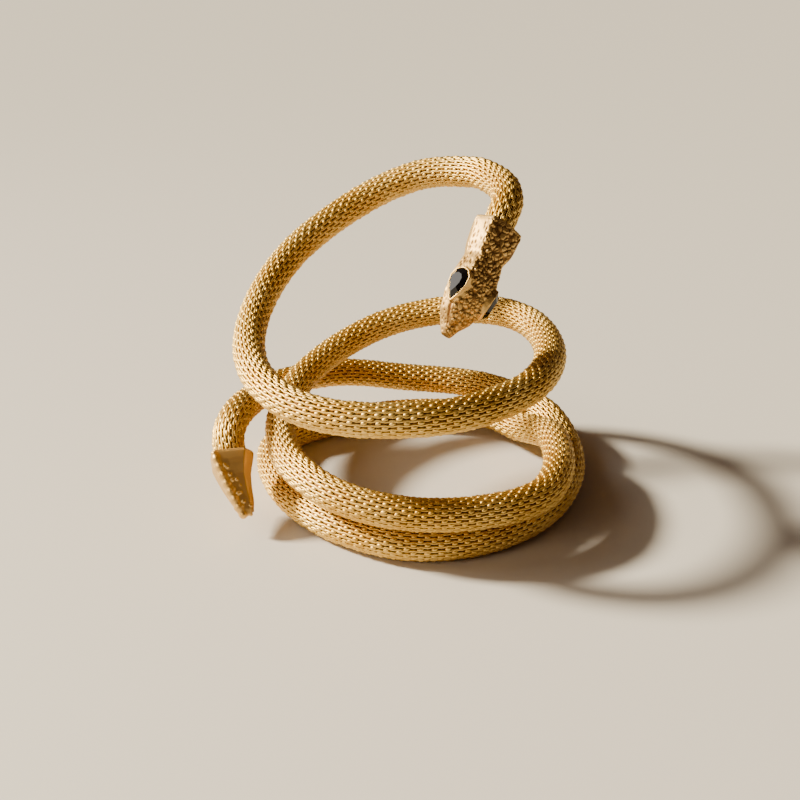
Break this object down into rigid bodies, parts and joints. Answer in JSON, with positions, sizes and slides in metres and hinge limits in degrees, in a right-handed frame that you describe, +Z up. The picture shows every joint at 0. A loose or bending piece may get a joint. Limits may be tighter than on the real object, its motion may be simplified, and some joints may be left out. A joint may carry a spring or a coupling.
{
  "type": "snake bracelet",
  "caption": "Coiled snake bracelet: a woven gold tube wound round the wrist, with a cast head set with dark eye stones and a cast tail cap.",
  "frame": {"origin": "centre of the wrist opening, on the surface that the bracelet rests on", "axes": "+Z is up along the wrist, +X to the right of the coil with the head facing the viewer, who stands at -Y"},
  "size_m": [0.0843, 0.0765, 0.0696],
  "materials": {
    "woven_gold": "fine woven wire, satin gold",
    "cast_gold": "cast and chased gold, satin with bright edges",
    "black_stone": "polished faceted black stone"
  },
  "bodies": {
    "root": {"woven_tube": "woven_gold", "head": "cast_gold", "eye_right": "black_stone", "eye_left": "black_stone", "tail_cap": "cast_gold"}
  },
  "joints": []
}
